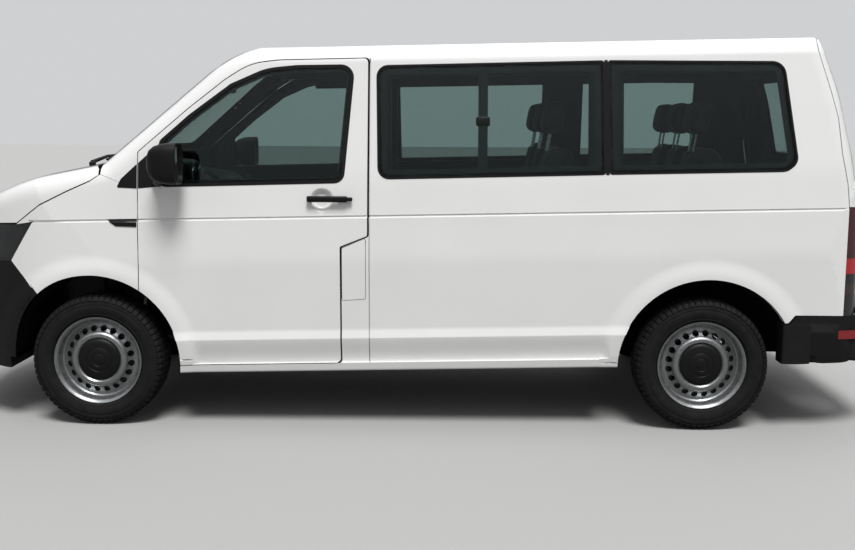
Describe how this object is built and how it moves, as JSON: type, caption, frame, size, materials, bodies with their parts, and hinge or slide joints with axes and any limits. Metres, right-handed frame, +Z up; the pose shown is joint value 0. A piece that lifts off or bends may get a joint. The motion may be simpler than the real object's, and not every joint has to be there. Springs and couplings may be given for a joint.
{
  "type": "minibus",
  "caption": "White short-wheelbase minibus with hinged front doors, a sliding side door, a lifting tailgate, rows of cloth seats and vented steel wheels.",
  "frame": {"origin": "on the ground, under the middle of the overall length and width", "axes": "+X forward, +Y to the vehicle's left, +Z up"},
  "size_m": [4.9038, 2.296, 1.961],
  "materials": {
    "body_paint": "white gloss paint",
    "underbody": "black stone-chip coating",
    "bumper_plastic": "grained dark grey plastic",
    "black_trim": "grained black plastic",
    "window_glass": "green tinted glass",
    "lamp_clear": "clear lamp lens",
    "lamp_red": "red lamp lens",
    "tyre_rubber": "black tyre rubber",
    "wheel_silver": "silver wheel enamel",
    "hub_steel": "bare cast iron",
    "axle_steel": "black chassis paint",
    "engine_metal": "cast alloy",
    "exhaust_steel": "dull stainless steel",
    "seat_fabric": "dark woven cloth",
    "dash_plastic": "grained dark grey plastic"
  },
  "bodies": {
    "chassis": {"side_frame_left": "body_paint", "side_frame_right": "body_paint", "sliding_door": "body_paint", "fuel_flap": "body_paint", "roof_panel": "body_paint", "wings": "body_paint", "cowl": "black_trim", "windscreen": "window_glass", "side_windows": "window_glass", "front_bumper": "bumper_plastic", "rear_bumper": "bumper_plastic", "grille": "black_trim", "headlamps": "lamp_clear", "tail_lamps": "lamp_red", "floor_pan": "underbody", "arch_liners": "black_trim", "front_struts": "axle_steel", "front_subframe": "axle_steel", "rear_axle": "axle_steel", "engine": "engine_metal", "fuel_tank": "black_trim", "exhaust": "exhaust_steel", "dashboard": "dash_plastic", "front_seats": "seat_fabric", "second_row_seats": "seat_fabric", "third_row_seats": "seat_fabric"},
    "door_left": {"door_left": "body_paint", "door_glass_left": "window_glass", "mirror_left": "black_trim"},
    "door_right": {"door_right": "body_paint", "door_glass_right": "window_glass", "mirror_right": "black_trim"},
    "bonnet": {"bonnet": "body_paint"},
    "tailgate": {"tailgate": "body_paint", "tailgate_glass": "window_glass"},
    "knuckle_left": {"knuckle_left": "hub_steel"},
    "knuckle_right": {"knuckle_right": "hub_steel"},
    "wheel_front_left": {"tyre_front_left": "tyre_rubber", "wheel_front_left": "wheel_silver"},
    "wheel_front_right": {"tyre_front_right": "tyre_rubber", "wheel_front_right": "wheel_silver"},
    "wheel_rear_left": {"tyre_rear_left": "tyre_rubber", "wheel_rear_left": "wheel_silver"},
    "wheel_rear_right": {"tyre_rear_right": "tyre_rubber", "wheel_rear_right": "wheel_silver"},
    "steering_wheel": {"steering_wheel": "dash_plastic"}
  },
  "joints": [
    {"name": "steer_left", "type": "hinge", "parent": "chassis", "child": "knuckle_left", "pos_m": [1.544, 0.716, 0.328], "axis": [0, 0, 1], "range_deg": [-33, 33]},
    {"name": "steer_right", "type": "hinge", "parent": "chassis", "child": "knuckle_right", "pos_m": [1.544, -0.716, 0.328], "axis": [0, 0, 1], "range_deg": [-33, 33]},
    {"name": "steering_turn", "type": "hinge", "parent": "chassis", "child": "steering_wheel", "pos_m": [0.985, 0.39, 1.105], "axis": [-0.766, 0, 0.6428], "range_deg": [-495, 495]},
    {"name": "door_left_swing", "type": "hinge", "parent": "chassis", "child": "door_left", "pos_m": [1.313, 0.957, 1], "axis": [0, 0, -1], "range_deg": [0, 68]},
    {"name": "door_right_swing", "type": "hinge", "parent": "chassis", "child": "door_right", "pos_m": [1.313, -0.957, 1], "axis": [0, 0, 1], "range_deg": [0, 68]},
    {"name": "bonnet_lift", "type": "hinge", "parent": "chassis", "child": "bonnet", "pos_m": [1.508, 0, 1.294], "axis": [0, -1, 0], "range_deg": [0, 50]},
    {"name": "tailgate_lift", "type": "hinge", "parent": "chassis", "child": "tailgate", "pos_m": [-1.9795, 0, 1.975], "axis": [0, 1, 0], "range_deg": [0, 88]},
    {"name": "spin_front_left", "type": "hinge", "parent": "knuckle_left", "child": "wheel_front_left", "pos_m": [1.544, 0.812, 0.328], "axis": [0, 1, 0], "continuous": true},
    {"name": "spin_front_right", "type": "hinge", "parent": "knuckle_right", "child": "wheel_front_right", "pos_m": [1.544, -0.812, 0.328], "axis": [0, 1, 0], "continuous": true},
    {"name": "spin_rear_left", "type": "hinge", "parent": "chassis", "child": "wheel_rear_left", "pos_m": [-1.456, 0.812, 0.328], "axis": [0, 1, 0], "continuous": true},
    {"name": "spin_rear_right", "type": "hinge", "parent": "chassis", "child": "wheel_rear_right", "pos_m": [-1.456, -0.812, 0.328], "axis": [0, 1, 0], "continuous": true}
  ],
  "couplings": [
    {"joint": "steer_right", "follows": "steer_left", "ratio": 1},
    {"joint": "steering_turn", "follows": "steer_left", "ratio": 15}
  ]
}
